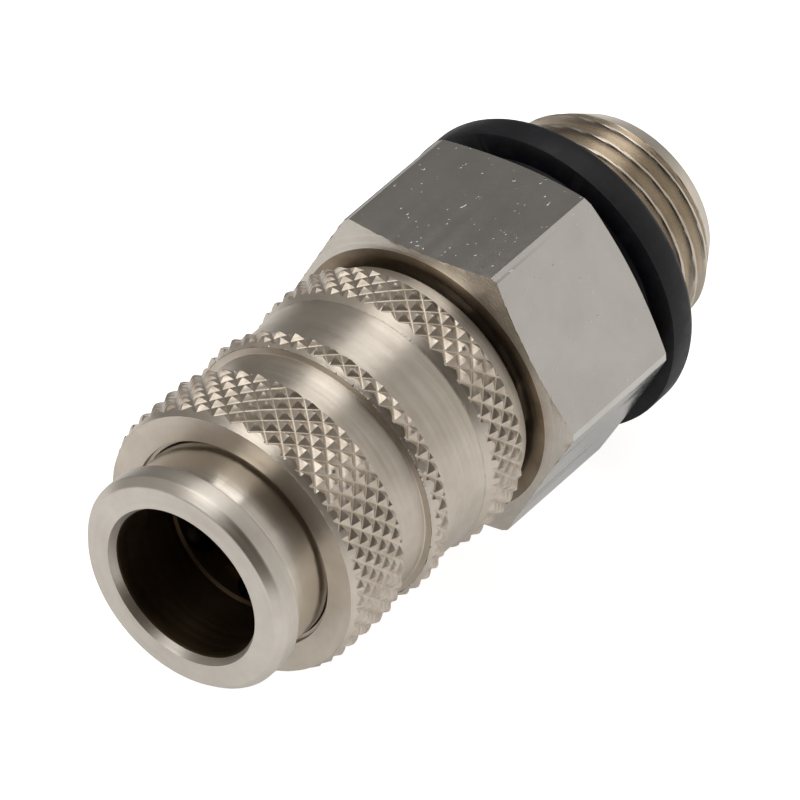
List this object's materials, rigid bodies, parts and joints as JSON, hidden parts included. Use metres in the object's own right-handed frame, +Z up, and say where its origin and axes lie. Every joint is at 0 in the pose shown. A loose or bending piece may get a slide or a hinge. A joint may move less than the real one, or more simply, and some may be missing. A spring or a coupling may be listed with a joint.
{
  "type": "pneumatic quick coupling",
  "caption": "Quick-release air coupling with a sliding knurled sleeve, ball lock, shut-off valve, hexagon and male pipe thread with seal washer.",
  "frame": {"origin": "centre of the plug bore's mouth, on the nose face", "axes": "+Y along the coupling's axis from the nose to the male thread, +Z up, normal to a flat of the hexagon, the coupling lying on its side"},
  "size_m": [0.024, 0.0491, 0.0226],
  "materials": {
    "nickel_brass": "bright nickel plate over turned brass, warm grey",
    "spring_steel": "drawn wire",
    "ball_steel": "polished",
    "black_rubber": "matte",
    "brass": "turned"
  },
  "bodies": {
    "body": {"barrel": "nickel_brass", "adapter": "nickel_brass", "thread_washer": "black_rubber", "body_seal": "black_rubber", "plug_seal": "black_rubber", "valve_guide": "brass", "valve_spring": "spring_steel"},
    "sleeve_carrier": {"sleeve_spring": "spring_steel"},
    "sleeve": {"sleeve": "nickel_brass"},
    "valve": {"valve_body": "brass", "valve_seal": "black_rubber"},
    "lock_ball_1": {"lock_ball_1": "ball_steel"},
    "lock_ball_2": {"lock_ball_2": "ball_steel"},
    "lock_ball_3": {"lock_ball_3": "ball_steel"},
    "lock_ball_4": {"lock_ball_4": "ball_steel"},
    "lock_ball_5": {"lock_ball_5": "ball_steel"},
    "lock_ball_6": {"lock_ball_6": "ball_steel"}
  },
  "joints": [
    {"name": "sleeve_turn", "type": "hinge", "parent": "body", "child": "sleeve_carrier", "pos_m": [0, 0, 0], "axis": [0, 1, 0], "continuous": true},
    {"name": "sleeve_slide", "type": "slide", "parent": "sleeve_carrier", "child": "sleeve", "axis": [0, -1, 0], "range_m": [0, 0.0032], "deforming": ["sleeve_spring"]},
    {"name": "valve_slide", "type": "slide", "parent": "body", "child": "valve", "axis": [0, 1, 0], "range_m": [0, 0.005], "stiffness_N_per_m": 400, "springref_m": -0.004, "deforming": ["valve_spring"]},
    {"name": "lock_ball_1_slide", "type": "slide", "parent": "body", "child": "lock_ball_1", "axis": [0, 0, -1], "range_m": [0, 0.00087]},
    {"name": "lock_ball_2_slide", "type": "slide", "parent": "body", "child": "lock_ball_2", "axis": [-0.866, 0, -0.5], "range_m": [0, 0.00087]},
    {"name": "lock_ball_3_slide", "type": "slide", "parent": "body", "child": "lock_ball_3", "axis": [-0.866, 0, 0.5], "range_m": [0, 0.00087]},
    {"name": "lock_ball_4_slide", "type": "slide", "parent": "body", "child": "lock_ball_4", "axis": [0, 0, 1], "range_m": [0, 0.00087]},
    {"name": "lock_ball_5_slide", "type": "slide", "parent": "body", "child": "lock_ball_5", "axis": [0.866, 0, 0.5], "range_m": [0, 0.00087]},
    {"name": "lock_ball_6_slide", "type": "slide", "parent": "body", "child": "lock_ball_6", "axis": [0.866, 0, -0.5], "range_m": [0, 0.00087]}
  ],
  "couplings": [
    {"joint": "valve_slide", "follows": "sleeve_slide", "ratio": 1.5624},
    {"joint": "lock_ball_1_slide", "follows": "sleeve_slide", "ratio": 0.2718},
    {"joint": "lock_ball_2_slide", "follows": "sleeve_slide", "ratio": 0.2718},
    {"joint": "lock_ball_3_slide", "follows": "sleeve_slide", "ratio": 0.2718},
    {"joint": "lock_ball_4_slide", "follows": "sleeve_slide", "ratio": 0.2718},
    {"joint": "lock_ball_5_slide", "follows": "sleeve_slide", "ratio": 0.2718},
    {"joint": "lock_ball_6_slide", "follows": "sleeve_slide", "ratio": 0.2718}
  ]
}
